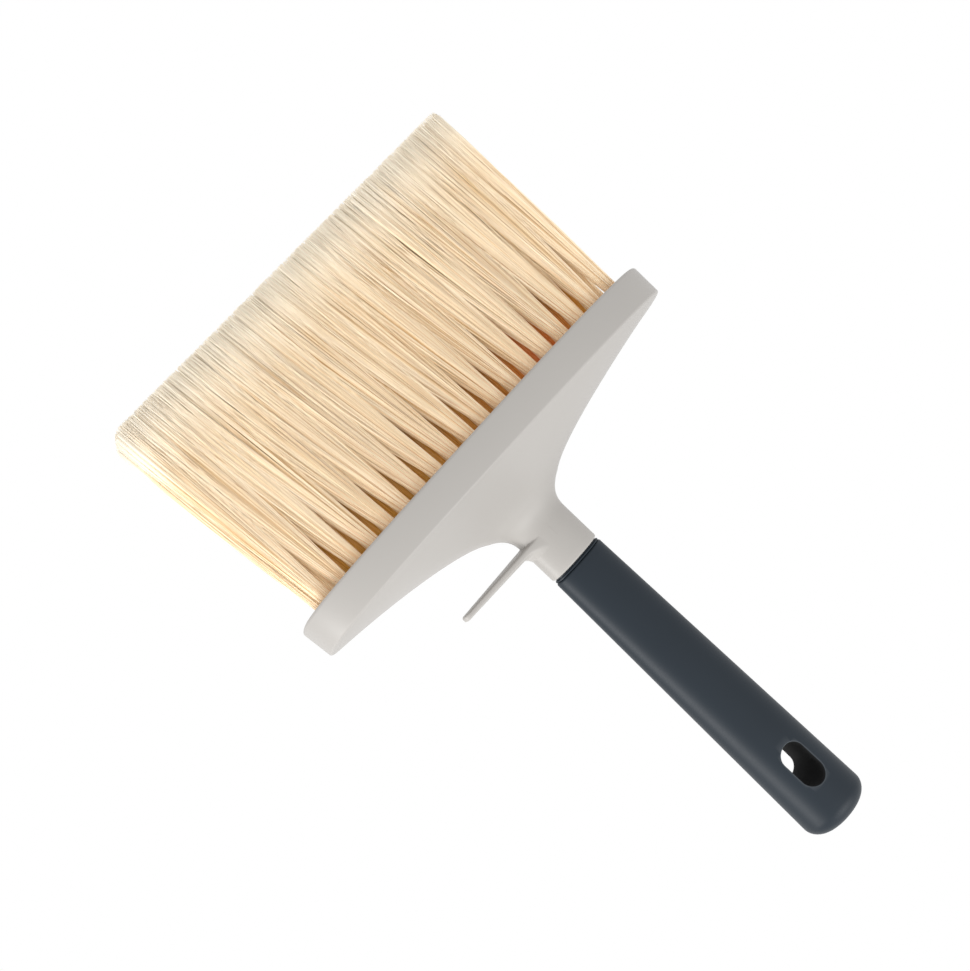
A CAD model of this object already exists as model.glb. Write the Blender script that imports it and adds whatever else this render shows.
import math

import bmesh
import bpy
import numpy as np
from mathutils import Matrix, Vector


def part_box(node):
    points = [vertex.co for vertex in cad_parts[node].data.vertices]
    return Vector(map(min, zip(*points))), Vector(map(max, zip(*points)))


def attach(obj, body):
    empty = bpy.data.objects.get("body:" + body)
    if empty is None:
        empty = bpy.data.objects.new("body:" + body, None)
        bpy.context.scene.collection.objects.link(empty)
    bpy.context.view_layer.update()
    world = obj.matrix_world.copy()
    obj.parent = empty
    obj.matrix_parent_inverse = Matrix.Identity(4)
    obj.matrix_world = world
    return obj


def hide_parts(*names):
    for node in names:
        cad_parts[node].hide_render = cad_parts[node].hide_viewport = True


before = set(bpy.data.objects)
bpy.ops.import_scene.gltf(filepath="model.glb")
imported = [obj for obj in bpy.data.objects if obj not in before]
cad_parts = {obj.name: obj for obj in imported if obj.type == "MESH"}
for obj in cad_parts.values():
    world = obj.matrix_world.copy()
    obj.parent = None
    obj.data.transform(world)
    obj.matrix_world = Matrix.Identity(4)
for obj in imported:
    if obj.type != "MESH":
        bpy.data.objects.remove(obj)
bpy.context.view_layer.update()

MM = 0.001
SEED = 7

# Lowest and highest corners of the CAD nodes that the new pieces follow
SHELL_LOW, SHELL_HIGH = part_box("head_shell")
PLATE_LOW, PLATE_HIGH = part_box("tuft_plate")

# Head: a is a half size along the brush and b one across it
BAND_Z = SHELL_LOW[2]
BAND_H = 11.4 * MM
BAND_TOP = BAND_Z + BAND_H
BAND_DRAFT = 0.6 * MM
HEAD_A = (SHELL_HIGH[0] - SHELL_LOW[0]) / 2 - BAND_DRAFT
HEAD_B = 26 * MM
HEAD_SQ = 2.8
PLATE_GAP = 0.1 * MM
SEAT_A = (PLATE_HIGH[0] - PLATE_LOW[0]) / 2 + PLATE_GAP
SEAT_B = (PLATE_HIGH[1] - PLATE_LOW[1]) / 2 + PLATE_GAP
LOW_R = 1.1 * MM
LIP_R = 0.5 * MM
TOP_R = 0.8 * MM

# Shoulder, neck and handle axis; s is a place along the handle, from the band's top
LEAN = math.radians(9.2)
NECK_BACK = 13.4 * MM
SHOULDER_H = 18 * MM
SWEEP = 2.2
BLEND = 0.26
BLEND_TOP = 1.27
NECK_LEN = 18 * MM
NECK_A = 10.25 * MM
NECK_B = 5.9 * MM
NECK_SQ = 2.3
RIM_R = 0.65 * MM
RIM_S = SHOULDER_H + NECK_LEN

# Rim hook
HOOK_S = 22.8 * MM
HOOK_REACH = 40 * MM
HOOK_TIP_R = 2.5 * MM
HOOK_ROOT_T = 3.4 * MM
HOOK_TIP_T = 2.1 * MM
HOOK_SQ = 3.6
UPPER_FILLET = 3.2 * MM
LOWER_FILLET = 0.3 * MM

# Grip
GROOVE_H = 1.3 * MM
GRIP_S = RIM_S + GROOVE_H
GRIP_LEN = 120.6 * MM
GRIP_END_A = 12.5 * MM
GRIP_END_B = 11 * MM
GRIP_SQ = 2.1
DOME_H = 6.5 * MM
SLOT_S = GRIP_S + GRIP_LEN - 25.8 * MM
SLOT_R = 4.45 * MM
SLOT_HALF = (16.6 * MM - 2 * SLOT_R) / 2
SLOT_TILT = math.radians(10)
SLOT_EDGE = 0.4 * MM

SPOKES = 160


# ---------------------------------------------------------------- modelling

def ring(a, b, squareness, spokes=SPOKES):
    """One closed outline of half sizes a and b; squareness 2 is an ellipse."""
    t = np.arange(spokes) * 2 * np.pi / spokes
    c, s = np.cos(t), np.sin(t)
    power = 2 / squareness
    x = a * np.sign(c) * np.abs(c) ** power
    y = b * np.sign(s) * np.abs(s) ** power
    return np.stack([x, y], 1)


def placed(outline, tilt, y, z):
    """An outline leaning back by tilt, with its middle at y and z."""
    return np.stack([outline[:, 0],
                     y + outline[:, 1] * math.cos(tilt),
                     z - outline[:, 1] * math.sin(tilt)], 1)


def on_handle(points):
    """Points given along the handle, moved to their place on the leaning handle."""
    x, y, s = np.asarray(points, float).T
    return np.stack([x,
                     NECK_BACK + y * math.cos(LEAN) + s * math.sin(LEAN),
                     BAND_TOP - y * math.sin(LEAN) + s * math.cos(LEAN)], 1)


def arc(count, start=0.0, end=90.0):
    """Angles in radians from start to end."""
    return [math.radians(start + (end - start) * i / count) for i in range(count + 1)]


def deselect():
    if bpy.context.mode != "OBJECT":
        bpy.ops.object.mode_set(mode="OBJECT")
    bpy.ops.object.select_all(action="DESELECT")


def only(piece):
    """Makes piece the one that the operators act on."""
    deselect()
    piece.select_set(True)
    bpy.context.view_layer.objects.active = piece


def loft(name, rings):
    """A closed skin over a list of rings: a filled circle, extruded once for each ring."""
    deselect()
    spokes = len(rings[0])
    bpy.ops.mesh.primitive_circle_add(vertices=spokes, radius=1, fill_type="NGON")
    piece = bpy.context.object
    piece.name = name
    bpy.ops.object.mode_set(mode="EDIT")
    mesh = bmesh.from_edit_mesh(piece.data)
    spoke = mesh.verts.layers.int.new("spoke")
    for i, vert in enumerate(mesh.verts):
        vert[spoke] = i
        vert.co = rings[0][i]
    bmesh.update_edit_mesh(piece.data)
    for points in rings[1:]:
        bpy.ops.mesh.extrude_region_move()
        mesh = bmesh.from_edit_mesh(piece.data)
        spoke = mesh.verts.layers.int["spoke"]
        for vert in mesh.verts:
            if vert.select:
                vert.co = points[vert[spoke]]
        bmesh.update_edit_mesh(piece.data)
    bpy.ops.mesh.select_all(action="SELECT")
    bpy.ops.mesh.normals_make_consistent(inside=False)
    bpy.ops.object.mode_set(mode="OBJECT")
    piece.data.attributes.remove(piece.data.attributes["spoke"])
    return piece


def combine(piece, other, operation):
    """Adds other to piece or cuts it out, and takes other away."""
    only(piece)
    modifier = piece.modifiers.new("combine", "BOOLEAN")
    modifier.operation = operation
    modifier.solver = "EXACT"
    modifier.object = other
    bpy.ops.object.modifier_apply(modifier=modifier.name)
    bpy.data.objects.remove(other, do_unlink=True)


def smooth(piece, degrees):
    only(piece)
    bpy.ops.object.shade_smooth_by_angle(angle=math.radians(degrees))


# ---------------------------------------------------------------- head

def shoulder_share(k):
    """How much of the head's outline is left at a share k of the shoulder's height.

    Averaged over a short height, so that the shoulder runs softly into the neck.
    """
    reach = BLEND * min(max(k / 0.7, 0), 1) ** 2
    near = np.clip(1 - k - reach * np.linspace(-1, 1, 15), 0, None)
    return float(np.mean(near ** SWEEP))


def shoulder_ring(k):
    """Outline of the shoulder at a share k of its height."""
    f = shoulder_share(k)
    w = 1 - f
    s = SHOULDER_H * k
    ease = TOP_R * max(1 - k, 0) ** 12
    outline = ring(NECK_A + (HEAD_A - NECK_A) * f - ease, NECK_B + (HEAD_B - NECK_B) * f - ease,
                   NECK_SQ + (HEAD_SQ - NECK_SQ) * f)
    return placed(outline, LEAN * w, w * (NECK_BACK + s * math.sin(LEAN)),
                  BAND_TOP + s * math.cos(LEAN))


def neck_ring(s, inset):
    outline = ring(NECK_A - inset, NECK_B - inset, NECK_SQ)
    return on_handle(np.column_stack([outline, np.full(len(outline), s)]))


def make_shell():
    """Side band, shoulder and neck as one skin, open below to the plate's seat."""
    seat_top = PLATE_LOW[2] + 2 * MM
    rings = [placed(ring(SEAT_A, SEAT_B, HEAD_SQ), 0, 0, seat_top)]
    for t in arc(4):
        g = LIP_R * (1 - math.cos(t))
        rings.append(placed(ring(SEAT_A + g, SEAT_B + g, HEAD_SQ), 0, 0,
                            BAND_Z + LIP_R * (1 - math.sin(t))))
    for t in arc(6):
        g = BAND_DRAFT - LOW_R * (1 - math.sin(t))
        rings.append(placed(ring(HEAD_A + g, HEAD_B + g, HEAD_SQ), 0, 0,
                            BAND_Z + LOW_R * (1 - math.cos(t))))
    for t in arc(5):
        g = -TOP_R * (1 - math.cos(t))
        rings.append(placed(ring(HEAD_A + g, HEAD_B + g, HEAD_SQ), 0, 0,
                            BAND_TOP - TOP_R * (1 - math.sin(t))))
    steps = 44
    rings += [shoulder_ring(BLEND_TOP * (i / steps) ** 0.85) for i in range(1, steps + 1)]
    low_s = SHOULDER_H * BLEND_TOP
    rings += [neck_ring(low_s + (RIM_S - RIM_R - low_s) * i / 6, 0) for i in range(1, 7)]
    rings += [neck_ring(RIM_S - RIM_R * (1 - math.sin(t)), RIM_R * (1 - math.cos(t)))
              for t in arc(4)[1:]]
    rings.append(neck_ring(RIM_S, 2 * MM))
    return loft("shell_moulding", rings)


def neck_distance(x, y):
    """How far a point of the handle's cross-section lies outside the neck, roughly."""
    share = ((np.abs(x) / NECK_A) ** NECK_SQ + (np.abs(y) / NECK_B) ** NECK_SQ) ** (1 / NECK_SQ)
    return np.hypot(x, y) * (1 - 1 / np.maximum(share, 1e-6))


def fillet(distance, radius):
    """Height of a round fillet of that radius at a distance from the wall it meets."""
    d = np.clip(distance, 0, radius)
    return radius - np.sqrt(radius**2 - (radius - d) ** 2)


def make_hook():
    """The flat plate beside the neck, with fillets where it grows out of the neck."""
    tip_x = HOOK_REACH - HOOK_TIP_R
    near = np.arange(0, 17, 0.6) * MM
    far = np.linspace(17.5 * MM, tip_x, 14)
    end = tip_x + HOOK_TIP_R * np.sin(np.array(arc(10, 9, 88)))
    rings = []
    for x in np.concatenate([near, far, end]):
        k = min(x / tip_x, 1)
        half_w = (NECK_B + 0.05 * MM) * (1 - k) + HOOK_TIP_R * k
        half_t = (HOOK_ROOT_T * (1 - k) + HOOK_TIP_T * k) / 2
        over = max(x - tip_x, 0) / HOOK_TIP_R
        if over > 0:
            half_w *= math.sqrt(1 - over**2)
            half_t *= (1 - max(over - 0.55, 0) ** 2 * 2.2)
        section = ring(half_w, half_t, HOOK_SQ, 64)
        y, z = section.T
        gap = neck_distance(np.full(len(y), x), y)
        upper = z > 0
        z = z + np.where(upper, fillet(gap, UPPER_FILLET), -fillet(gap, LOWER_FILLET))
        rings.append(on_handle(np.column_stack([np.full(len(y), x), y, HOOK_S + z])))
    return loft("hook_plate", rings)


# ---------------------------------------------------------------- grip

def grip_half(s):
    """Half width and half thickness of the grip at a place along the handle."""
    k = (s - GRIP_S) / GRIP_LEN
    return NECK_A + (GRIP_END_A - NECK_A) * k, NECK_B + (GRIP_END_B - NECK_B) * k


def grip_ring(s, inset, scale=1.0):
    a, b = grip_half(s)
    outline = ring(a * scale - inset, b * scale - inset, GRIP_SQ)
    return on_handle(np.column_stack([outline, np.full(len(outline), s)]))


def make_grip_body():
    """Collar in the groove, rounded lower edge, straight taper and domed end."""
    collar, deep, edge = 0.35 * MM, 0.95 * MM, 0.7 * MM
    rings = [neck_ring(RIM_S - 0.3 * MM, deep), neck_ring(RIM_S + 0.55 * MM, deep),
             neck_ring(RIM_S + 0.6 * MM, collar + 0.1 * MM), neck_ring(RIM_S + 0.7 * MM, collar),
             neck_ring(RIM_S + 1.1 * MM, collar), neck_ring(RIM_S + 1.15 * MM, deep),
             neck_ring(GRIP_S, deep)]
    rings += [grip_ring(GRIP_S + edge * (1 - math.cos(t)), edge * (1 - math.sin(t)))
              for t in arc(6)]
    dome_s = GRIP_S + GRIP_LEN - DOME_H
    body = np.linspace(GRIP_S + 3 * MM, dome_s, 40)
    rings += [grip_ring(s, 0) for s in body]
    a, b = grip_half(dome_s)
    for t in arc(14, 0, 89)[1:]:
        shrink = math.cos(t) ** 0.7
        outline = ring(a * shrink, b * shrink, GRIP_SQ)
        rings.append(on_handle(np.column_stack([outline, np.full(len(outline),
                                                                 dome_s + DOME_H * math.sin(t))])))
    return loft("grip_body", rings)


def slot_outline(grow, count=24):
    """Stadium outline in x and along the handle, widened by grow."""
    points = []
    for middle, start in ((SLOT_HALF, 0), (-SLOT_HALF, 180)):
        for t in arc(count, start, start + 180):
            points.append(((SLOT_R + grow) * math.cos(t), middle + (SLOT_R + grow) * math.sin(t)))
    return np.array(points)


def slot_level(grow, side, depth):
    """Outline of the slot's cutter on one side, at a depth under the grip's own surface."""
    x, s = slot_outline(grow).T
    a, b = grip_half(SLOT_S + s)
    surface = b * (1 - (np.abs(x) / a) ** GRIP_SQ) ** (1 / GRIP_SQ)
    y = side * (surface - depth)
    return on_handle(np.column_stack([x, y, SLOT_S + s - y * math.tan(SLOT_TILT)]))


def make_slot_cutter():
    """Follows the grip's curved surface, so that the slot's rim is rounded evenly."""
    mouth = [(SLOT_EDGE * (1 - math.sin(t)), SLOT_EDGE * (1 - math.cos(t))) for t in arc(5)]
    front = [slot_level(SLOT_EDGE, -1, -2 * MM)] + [slot_level(g, -1, d) for g, d in mouth]
    back = [slot_level(g, 1, d) for g, d in reversed(mouth)] + [slot_level(SLOT_EDGE, 1, -2 * MM)]
    return loft("slot_cutter", front + back)


def mark_slot_wall(grip):
    """Writes two attributes: wall is 1 inside the slot, lip is 1 on its rounded mouth."""
    points = np.empty(len(grip.data.vertices) * 3, np.float32)
    grip.data.vertices.foreach_get("co", points)
    x, y, z = points.reshape(-1, 3).T
    y, z = y - NECK_BACK, z - BAND_TOP
    across = y * math.cos(LEAN) - z * math.sin(LEAN)
    along = y * math.sin(LEAN) + z * math.cos(LEAN) - SLOT_S + across * math.tan(SLOT_TILT)
    distance = np.hypot(x, np.maximum(np.abs(along) - SLOT_HALF, 0))
    wall = np.clip(1 - (distance - SLOT_R - 0.02 * MM) / (0.3 * SLOT_EDGE), 0, 1)
    lip = np.clip(1 - np.abs(distance - SLOT_R - 0.7 * SLOT_EDGE) / (0.4 * SLOT_EDGE), 0, 1)
    for name, values in (("wall", wall), ("lip", lip)):
        layer = grip.data.attributes.new(name, "FLOAT", "POINT")
        layer.data.foreach_set("value", values.astype(np.float32))


# ---------------------------------------------------------------- bristles

TIP_NODES = [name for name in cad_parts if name.startswith("tuft_") and name[-1].isdigit()]
TIPS_HALF = [max(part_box(name)[1][axis] for name in TIP_NODES) for axis in (0, 1)]
ROWS = {"front": 19, "middle": 18, "back": 19}
ROW_PITCH = 6.5 * MM
SKEW = 5.5 * MM
TUFT_R = 2.1 * MM
ROOT_R = 2.3 * MM
FLARE = 4 * MM
TUFT_PITCH = 2 * (TIPS_HALF[0] - FLARE - ROOT_R) / (ROWS["front"] - 1)
STRAND_CUTS = 8
STRANDS = 460
CORE_STRANDS = 70
STRAND_R = 0.13 * MM
CORE_R = 0.42 * MM
STRAY_SHARE = 0.05
BLOCK_ROUND = 3 * MM
BLOCK_INSET = 0.3 * MM


def strand_template():
    """One three-sided strand of unit radius and height, cut across along its length."""
    deselect()
    bpy.ops.mesh.primitive_cylinder_add(vertices=3, radius=1, depth=1, location=(0, 0, 0.5),
                                        end_fill_type="NGON")
    strand = bpy.context.object
    bpy.ops.object.transform_apply(location=True)
    bpy.ops.object.mode_set(mode="EDIT")
    bpy.ops.mesh.select_all(action="DESELECT")
    mesh = bmesh.from_edit_mesh(strand.data)
    for edge in mesh.edges:
        low, high = edge.verts
        edge.select = abs(low.co.z - high.co.z) > 0.5
    bmesh.update_edit_mesh(strand.data)
    bpy.ops.mesh.subdivide(number_cuts=STRAND_CUTS - 1)
    bpy.ops.object.mode_set(mode="OBJECT")
    mesh = strand.data
    points = np.array([v.co[:] for v in mesh.vertices])
    faces = [list(p.vertices) for p in mesh.polygons]
    bpy.data.objects.remove(strand, do_unlink=True)
    return points, faces


def to_square(u, v):
    """Moves points of the unit disc out to the unit square, keeping neighbours together."""
    r = np.hypot(u, v)
    top = np.maximum(np.abs(u), np.abs(v)) + 1e-9
    return u * r / top, v * r / top


def make_tuft(name, template, root, tip, cell, rng, inner):
    """A bundle of strands from a round root to its share of the tips.

    Thick strands fill the bundle's middle and thin ones cover them. The attribute strand holds
    each strand's tone, the place along it and how deep inside the block it lies.
    """
    points, faces = template
    n = STRANDS
    thick = np.arange(n) < CORE_STRANDS
    angle = rng.uniform(0, 2 * np.pi, n)
    radius = np.where(thick, 0.68 * np.sqrt(rng.uniform(0, 1, n)), rng.uniform(0.1, 1, n) ** 0.4)
    u, v = radius * np.cos(angle), radius * np.sin(angle)
    wide_u, wide_v = to_square(u, v)
    stray = (rng.uniform(0, 1, n) < STRAY_SHARE) & ~thick
    loose = np.where(stray, 1.6 * MM, np.where(thick, 0.15 * MM, 0.4 * MM))
    end_x = tip[0] + wide_u * cell[0] * 0.8 + rng.normal(0, 1, n) * loose
    end_y = tip[1] + wide_v * cell[1] * 0.56 + rng.normal(0, 1, n) * loose
    end_x, end_y, corner = into_block(end_x, end_y)
    root_x, root_y = root[0] + u * TUFT_R, root[1] + v * TUFT_R
    bow, sway = rng.normal(0, 0.3 * MM, n), rng.normal(0, 0.25 * MM, n)
    phase = rng.uniform(0, 2 * np.pi, n)
    fan = rng.uniform(1.05, 1.45, n)
    length_z = np.abs(rng.normal(0, 0.25 * MM, n)) + corner
    length_z += np.where(thick, 0.9 * MM, 0) + np.where(stray, 0.6 * MM, 0)

    t = (1 - points[:, 2]) ** 1.15
    share = 1 - (1 - t[None, :]) ** fan[:, None]
    wave = np.sin(np.pi * t)[None, :]
    curl = np.sin(2 * np.pi * t[None, :] + phase[:, None]) * t[None, :]
    width = np.where(thick, CORE_R, STRAND_R) * rng.uniform(0.8, 1.2, n)
    width = width[:, None] * np.where(thick[:, None], 0.75 + 0.75 * t[None, :],
                                      1.0 - 0.25 * t[None, :])
    calm = np.where(thick, 0.3, 1.0)[:, None]
    x = root_x[:, None] + (end_x - root_x)[:, None] * share + bow[:, None] * wave * calm
    y = root_y[:, None] + (end_y - root_y)[:, None] * share + sway[:, None] * curl * calm
    top = PLATE_LOW[2] + 0.5 * MM
    z = top + (length_z[:, None] - top) * t[None, :] + 0 * x
    turn = rng.uniform(0, 2 * np.pi, n)[:, None]
    px, py = points[None, :, 0], points[None, :, 1]
    x = x + width * (px * np.cos(turn) - py * np.sin(turn))
    y = y + width * (px * np.sin(turn) + py * np.cos(turn))
    x, y = np.clip(x, -TIPS_HALF[0], TIPS_HALF[0]), np.clip(y, -TIPS_HALF[1], TIPS_HALF[1])
    tuft = mesh_of_copies(name, np.stack([x, y, z], 2).reshape(-1, 3), faces, n, len(points))

    strand = np.ones((n, len(points), 4), np.float32)
    strand[..., 0] = rng.uniform(0, 1, n)[:, None]
    strand[..., 1] = t[None, :]
    depth = np.where(thick, 0.45 + 0.6 * inner, 0.5 * np.clip(1.1 - radius, 0, 1) + inner)
    strand[..., 2] = depth[:, None]
    layer = tuft.data.attributes.new("strand", "FLOAT_COLOR", "POINT")
    layer.data.foreach_set("color", strand.ravel())
    add_bake_map(tuft, n, points, t)
    return tuft


def into_block(x, y):
    """Pulls strand ends inside the block's rounded outline; also how much shorter they get."""
    over_x = np.maximum(np.abs(x) - (TIPS_HALF[0] - BLOCK_INSET - BLOCK_ROUND), 0)
    over_y = np.maximum(np.abs(y) - (TIPS_HALF[1] - BLOCK_INSET - BLOCK_ROUND), 0)
    reach = np.hypot(over_x, over_y) + 1e-9
    pull = np.maximum(reach - BLOCK_ROUND, 0) * 1.2 / reach
    shorter = 0.7 * MM * np.clip(over_x / BLOCK_ROUND, 0, 1) ** 3
    return x - np.sign(x) * over_x * pull, y - np.sign(y) * over_y * pull, shorter


def mesh_of_copies(name, verts, faces, count, step):
    """One mesh that holds count copies of the template's faces."""
    corner = np.concatenate([np.array(f) for f in faces])
    sizes = np.array([len(f) for f in faces])
    offsets = np.arange(count)[:, None] * step
    loops = (corner[None, :] + offsets).ravel().astype(np.int32)
    totals = np.tile(sizes, count)
    starts = np.concatenate([[0], np.cumsum(totals)[:-1]]).astype(np.int32)
    mesh = bpy.data.meshes.new(name)
    mesh.vertices.add(len(verts))
    mesh.vertices.foreach_set("co", verts.astype(np.float32).ravel())
    mesh.loops.add(len(loops))
    mesh.loops.foreach_set("vertex_index", loops)
    mesh.polygons.add(len(totals))
    mesh.polygons.foreach_set("loop_start", starts)
    mesh.update(calc_edges=True)
    mesh.polygons.foreach_set("use_smooth", np.ones(len(totals), bool))
    mesh.validate()
    piece = bpy.data.objects.new(name, mesh)
    bpy.context.collection.objects.link(piece)
    return piece


def add_bake_map(tuft, count, points, t):
    """Gives every strand a column of its own on the piece's map."""
    column = (np.arange(count)[:, None] + 0.5 + 0.3 * points[None, :, 0]) / count
    place = np.stack([column, np.broadcast_to(t, column.shape)], 2).reshape(-1, 2)
    mesh = tuft.data
    corner = np.empty(len(mesh.loops), np.int32)
    mesh.loops.foreach_get("vertex_index", corner)
    layer = mesh.uv_layers.new(name="OFBake")
    layer.uv.foreach_set("vector", place[corner].astype(np.float32).ravel())


# ---------------------------------------------------------------- materials

class Value:
    """A socket that the arithmetic operators can be used on."""

    def __init__(self, material, socket):
        self.material = material
        self.socket = socket

    def maths(self, operation, *others):
        return self.material.node("ShaderNodeMath", {"operation": operation}, self, *others)

    def __add__(self, other):
        return self.maths("ADD", other)

    def __radd__(self, other):
        return self.maths("ADD", other)

    def __sub__(self, other):
        return self.maths("SUBTRACT", other)

    def __rsub__(self, other):
        return self.material.node("ShaderNodeMath", {"operation": "SUBTRACT"}, other, self)

    def __mul__(self, other):
        return self.maths("MULTIPLY", other)

    def __rmul__(self, other):
        return self.maths("MULTIPLY", other)


class Material:
    """A node material with one generic way to add a node."""

    def __init__(self, name):
        self.data = bpy.data.materials.new(name)
        self.data.use_nodes = True
        self.tree = self.data.node_tree
        self.shader = self.tree.nodes["Principled BSDF"]

    def node(self, kind, settings, *inputs, out=0, **named):
        made = self.tree.nodes.new(kind)
        for key, value in settings.items():
            if key == "ramp":
                fill_ramp(made.color_ramp, value)
            else:
                setattr(made, key, value)
        for key, value in list(enumerate(inputs)) + list(named.items()):
            socket = made.inputs[key if isinstance(key, int) else key.replace("_", " ")]
            self.feed(socket, value)
        return Value(self, made.outputs[out])

    def feed(self, socket, value):
        if isinstance(value, Value):
            self.tree.links.new(value.socket, socket)
        elif value is not None:
            socket.default_value = value

    def set(self, **sockets):
        for key, value in sockets.items():
            self.feed(self.shader.inputs[key.replace("_", " ")], value)

    def place(self):
        return self.node("ShaderNodeTexCoord", {}, out="Object")

    def stretched(self, scale):
        return self.node("ShaderNodeMapping", {}, Vector=self.place(), Scale=scale)

    def noise(self, scale, detail=2.0, roughness=0.5, at=None):
        return self.node("ShaderNodeTexNoise", {}, Vector=at or self.place(), Scale=scale,
                         Detail=detail, Roughness=roughness)

    def ramp(self, value, stops):
        return self.node("ShaderNodeValToRGB", {"ramp": stops}, value)

    def mix(self, factor, first, second, blend="MIX"):
        made = self.tree.nodes.new("ShaderNodeMix")
        made.data_type = "RGBA"
        made.blend_type = blend
        self.feed(made.inputs[0], factor)
        self.feed(made.inputs[6], first)
        self.feed(made.inputs[7], second)
        return Value(self, made.outputs[2])

    def bump(self, height, strength, distance):
        return self.node("ShaderNodeBump", {}, Strength=strength, Distance=distance,
                         Height=height)


def fill_ramp(ramp, stops):
    while len(ramp.elements) < len(stops):
        ramp.elements.new(0.5)
    for element, (position, colour) in zip(ramp.elements, stops):
        element.position = position
        element.color = colour


def rgb(red, green, blue):
    return (red, green, blue, 1.0)


def head_plastic():
    """Warm light grey moulded plastic with a fine spark-eroded grain."""
    m = Material("head_plastic")
    cloud = m.noise(18.0, 3.0)
    grain = m.noise(1400.0, 2.0, 0.6)
    base = m.mix(cloud, rgb(0.318, 0.303, 0.285), rgb(0.338, 0.323, 0.305))
    m.set(Base_Color=base, Roughness=0.42 + 0.1 * grain, Normal=m.bump(grain, 0.05, 0.00004),
          IOR=1.46)
    m.shader.inputs["Specular IOR Level"].default_value = 0.4
    return m.data


def grip_rubber():
    """Slate soft-touch rubber, matt with a broad soft sheen; the slot's wall is kept dark."""
    m = Material("grip_rubber")
    cloud = m.noise(25.0, 3.0)
    grain = m.noise(1800.0, 2.0, 0.6)
    base = m.mix(cloud, rgb(0.005, 0.010, 0.016), rgb(0.007, 0.013, 0.020))
    wall = m.node("ShaderNodeAttribute", {"attribute_name": "wall"}, out="Fac")
    lip = m.node("ShaderNodeAttribute", {"attribute_name": "lip"}, out="Fac")
    base = m.mix(lip, base, rgb(0.060, 0.068, 0.076))
    m.set(Base_Color=m.mix(wall, base, rgb(0.0006, 0.0008, 0.0009)),
          Roughness=0.45 + 0.1 * grain + 0.4 * wall, Normal=m.bump(grain, 0.12, 0.00004))
    m.shader.inputs["Specular IOR Level"].default_value = 0.28
    return m.data


def bristle_fibre():
    """Cream filaments: each has its own tone, and they are deeper in colour at the root.

    A small emission stands in for the light that pale filaments let through: passed on the
    outer strands, and glow between the roots.
    """
    m = Material("bristle_fibre")
    strand = m.node("ShaderNodeAttribute", {"attribute_name": "strand"}, out="Color")
    parts = m.tree.nodes.new("ShaderNodeSeparateColor")
    m.feed(parts.inputs[0], strand)
    tone = Value(m, parts.outputs[0])
    along = Value(m, parts.outputs[1])
    inner = Value(m, parts.outputs[2])
    own = m.ramp(tone, [(0.0, rgb(0.50, 0.29, 0.11)), (0.10, rgb(0.82, 0.61, 0.37)),
                        (0.3, rgb(0.92, 0.77, 0.56)), (1.0, rgb(0.96, 0.83, 0.65))])
    trimmed = m.ramp(along, [(0.72, rgb(0.0, 0.0, 0.0)), (1.0, rgb(0.8, 0.8, 0.8))])
    own = m.mix(trimmed, own, rgb(0.98, 0.92, 0.80))
    depth = m.ramp(inner * (1.0 - along * 0.9), [(0.0, rgb(1.0, 1.0, 1.0)),
                                                 (0.35, rgb(1.0, 0.90, 0.74)),
                                                 (0.6, rgb(0.80, 0.50, 0.15)),
                                                 (1.0, rgb(0.60, 0.24, 0.04))])
    side = m.node("ShaderNodeSeparateXYZ", {}, m.place())
    glow = m.ramp(side * 6.0 + 0.5, [(0.08, rgb(0.62, 0.46, 0.04)), (0.20, rgb(0.60, 0.14, 0.01)),
                                     (0.28, rgb(0.70, 0.03, 0.02)), (0.36, rgb(0.46, 0.16, 0.02)),
                                     (0.60, rgb(0.44, 0.27, 0.04))])
    lit = m.ramp(inner * (1.0 - along * 1.4), [(0.40, rgb(0, 0, 0)), (0.70, rgb(1, 1, 1))])
    passed = m.ramp(along, [(0.0, rgb(0.56, 0.45, 0.30)), (0.35, rgb(0.24, 0.19, 0.13)),
                            (0.7, rgb(0.17, 0.14, 0.10)), (1.0, rgb(0.24, 0.21, 0.17))])
    passed = m.mix(m.ramp(inner, [(0.05, rgb(0, 0, 0)), (0.35, rgb(1, 1, 1))]), passed,
                   rgb(0, 0, 0))
    m.set(Base_Color=m.mix(1.0, own, depth, "MULTIPLY"), Roughness=0.6,
          Emission_Color=m.mix(lit, passed, glow), Emission_Strength=0.3)
    m.shader.inputs["Specular IOR Level"].default_value = 0.25
    return m.data


def plate_plastic():
    """Brown drilled plastic, with darker mottling."""
    m = Material("plate_plastic")
    mottle = m.noise(160.0, 4.0)
    base = m.mix(mottle, rgb(0.20, 0.07, 0.03), rgb(0.33, 0.14, 0.05))
    m.set(Base_Color=base, Roughness=0.55 + 0.1 * mottle, Normal=m.bump(mottle, 0.2, 0.0001))
    return m.data


def anchor_wire():
    """Drawn steel wire with fine lines along its length."""
    m = Material("anchor_wire")
    lines = m.noise(300.0, 2.0, 0.5, m.stretched((1.0, 20.0, 20.0)))
    m.set(Base_Color=m.mix(lines, rgb(0.45, 0.45, 0.46), rgb(0.62, 0.62, 0.63)), Metallic=1.0,
          Roughness=0.25 + 0.2 * lines)
    return m.data


def dress(piece, material):
    piece.data.materials.clear()
    piece.data.materials.append(material)


# ---------------------------------------------------------------- build

def build_head(material):
    shell = make_shell()
    combine(shell, make_hook(), "UNION")
    smooth(shell, 40)
    dress(shell, material)
    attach(shell, "root")
    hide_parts("head_shell")


def build_grip(material):
    grip = make_grip_body()
    combine(grip, make_slot_cutter(), "DIFFERENCE")
    mark_slot_wall(grip)
    smooth(grip, 40)
    dress(grip, material)
    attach(grip, "root")
    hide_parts("grip_sleeve")


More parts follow.
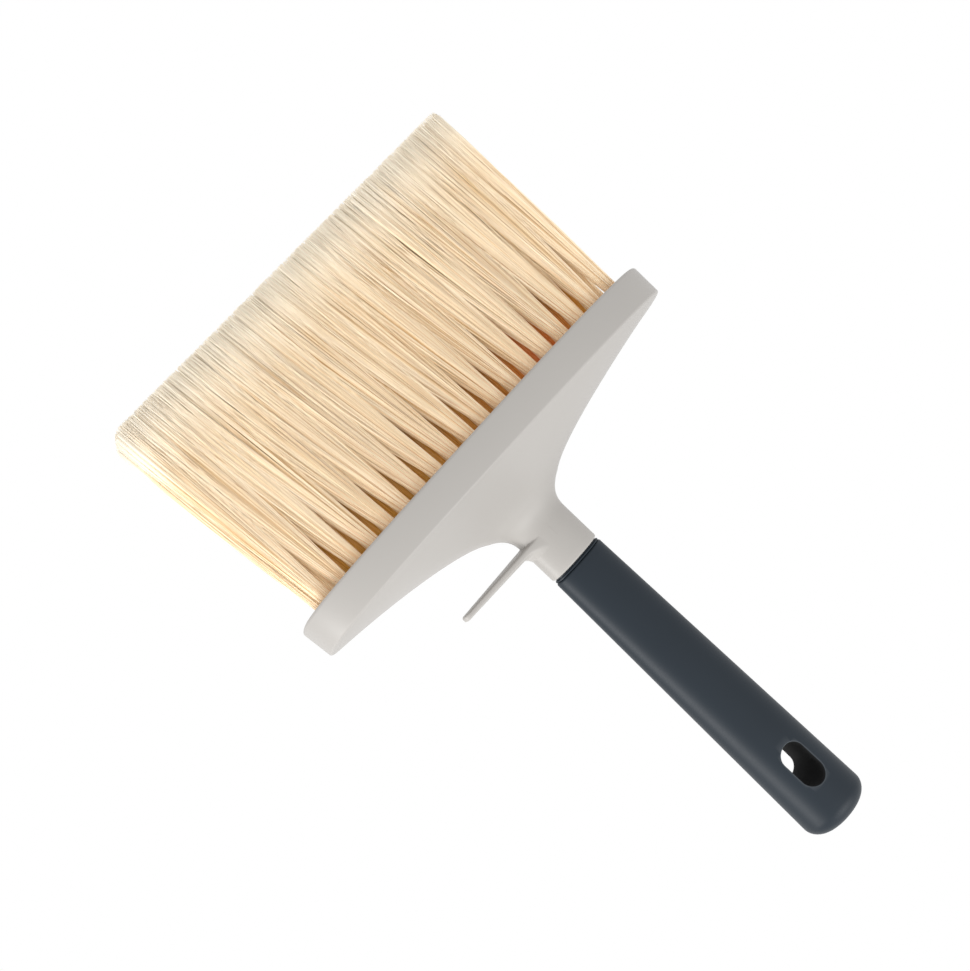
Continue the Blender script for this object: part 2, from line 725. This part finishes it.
def build_bristles(material):
    template = strand_template()
    tip_row = 2 * TIPS_HALF[1] / len(ROWS)
    for r, (row, count) in enumerate(ROWS.items()):
        pitch = 2 * TIPS_HALF[0] / count
        for i in range(count):
            rng = np.random.default_rng(SEED + 100 * r + i)
            steps = i - (count - 1) / 2
            root = (steps * TUFT_PITCH, (r - 1) * ROW_PITCH)
            off_end = 1 - abs(2 * steps / (count - 1)) ** 3
            tip = (steps * pitch + SKEW * off_end, (r - 1) * tip_row)
            number = f"{i + 1:02d}"
            tuft = make_tuft(f"bristles_{row}_{number}", template, root, tip, (pitch, tip_row),
                             rng, 0.5 if row == "middle" and 0 < i < count - 1 else 0.0)
            dress(tuft, material)
            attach(tuft, "root")
            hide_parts(f"tuft_{row}_{number}")


def dress_cad_nodes():
    finishes = {"tuft_plate": plate_plastic(), "tuft_anchors": anchor_wire()}
    for name, material in finishes.items():
        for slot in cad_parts[name].material_slots:
            slot.material = material


# ---------------------------------------------------------------- stage, light and camera

AZIMUTH = math.radians(16.9)
ELEVATION = math.radians(4.75)
ROLL = math.radians(130.9)
DISTANCE = 0.6465
SENSOR_MM = 36
LENS_MM = 76.490722
AIM = (-0.0067, 0.0002)
FLOOR_Z = -0.6 * MM
FILL = 1.17


def add_floor():
    """A white floor without shadows, which lets views from below through."""
    deselect()
    bpy.ops.mesh.primitive_plane_add(size=6, location=(0, 0, FLOOR_Z))
    floor = bpy.context.object
    floor.name = "floor"
    m = Material("floor_white")
    glow = m.node("ShaderNodeEmission", {}, Color=rgb(1, 1, 1), Strength=1.0)
    below = m.node("ShaderNodeNewGeometry", {}, out="Backfacing")
    clear = m.node("ShaderNodeBsdfTransparent", {})
    seen = m.node("ShaderNodeMixShader", {}, below, glow, clear)
    m.tree.links.new(seen.socket, m.tree.nodes["Material Output"].inputs["Surface"])
    dress(floor, m.data)
    floor.visible_diffuse = False
    floor.visible_glossy = False
    floor.visible_shadow = False


def add_world():
    """White all round: FILL is how strongly it lights the brush."""
    world = bpy.data.worlds.new("studio")
    bpy.context.scene.world = world
    world.use_nodes = True
    nodes, links = world.node_tree.nodes, world.node_tree.links
    fill = nodes["Background"]
    fill.inputs["Color"].default_value = rgb(1, 1, 1)
    fill.inputs["Strength"].default_value = FILL
    seen = nodes.new("ShaderNodeBackground")
    seen.inputs["Color"].default_value = rgb(1, 1, 1)
    seen.inputs["Strength"].default_value = 1.0
    path = nodes.new("ShaderNodeLightPath")
    mix = nodes.new("ShaderNodeMixShader")
    links.new(path.outputs["Is Camera Ray"], mix.inputs[0])
    links.new(fill.outputs[0], mix.inputs[1])
    links.new(seen.outputs[0], mix.inputs[2])
    links.new(mix.outputs[0], nodes["World Output"].inputs["Surface"])


def add_softbox(name, place, target, size, power):
    light = bpy.data.lights.new(name, "AREA")
    light.shape = "RECTANGLE"
    light.size, light.size_y = size
    light.energy = power
    lamp = bpy.data.objects.new(name, light)
    bpy.context.collection.objects.link(lamp)
    lamp.location = place
    lamp.rotation_euler = (Vector(target) - Vector(place)).to_track_quat("-Z", "Y").to_euler()


def add_lights():
    middle = (0, 0, 0.13)
    add_softbox("key", (1.2, -0.2, 0.36), middle, (0.5, 0.5), 11.5)
    add_softbox("top", (-0.1, -0.5, 1.2), middle, (0.6, 0.6), 6.5)


def add_camera():
    """Sees the brush from its front, a little from the hook's side, with the handle turned down."""
    forward = Vector((-math.sin(AZIMUTH) * math.cos(ELEVATION),
                      math.cos(AZIMUTH) * math.cos(ELEVATION), -math.sin(ELEVATION)))
    level = Vector((math.cos(AZIMUTH), math.sin(AZIMUTH), 0))
    upright = level.cross(forward)
    right = math.cos(ROLL) * level + math.sin(ROLL) * upright
    up = -math.sin(ROLL) * level + math.cos(ROLL) * upright
    data = bpy.data.cameras.new("camera")
    data.sensor_fit = "HORIZONTAL"
    data.sensor_width = SENSOR_MM
    data.lens = LENS_MM
    data.clip_start = 0.01
    camera = bpy.data.objects.new("camera", data)
    bpy.context.collection.objects.link(camera)
    place = Vector((0, 0, BAND_TOP)) - DISTANCE * forward - AIM[0] * level - AIM[1] * upright
    turn = Matrix((right, up, -forward)).transposed()
    camera.matrix_world = Matrix.Translation(place) @ turn.to_4x4()
    bpy.context.scene.camera = camera


build_head(head_plastic())
build_grip(grip_rubber())
build_bristles(bristle_fibre())
dress_cad_nodes()
add_floor()
add_world()
add_lights()
add_camera()
bpy.context.scene.view_settings.view_transform = "Standard"
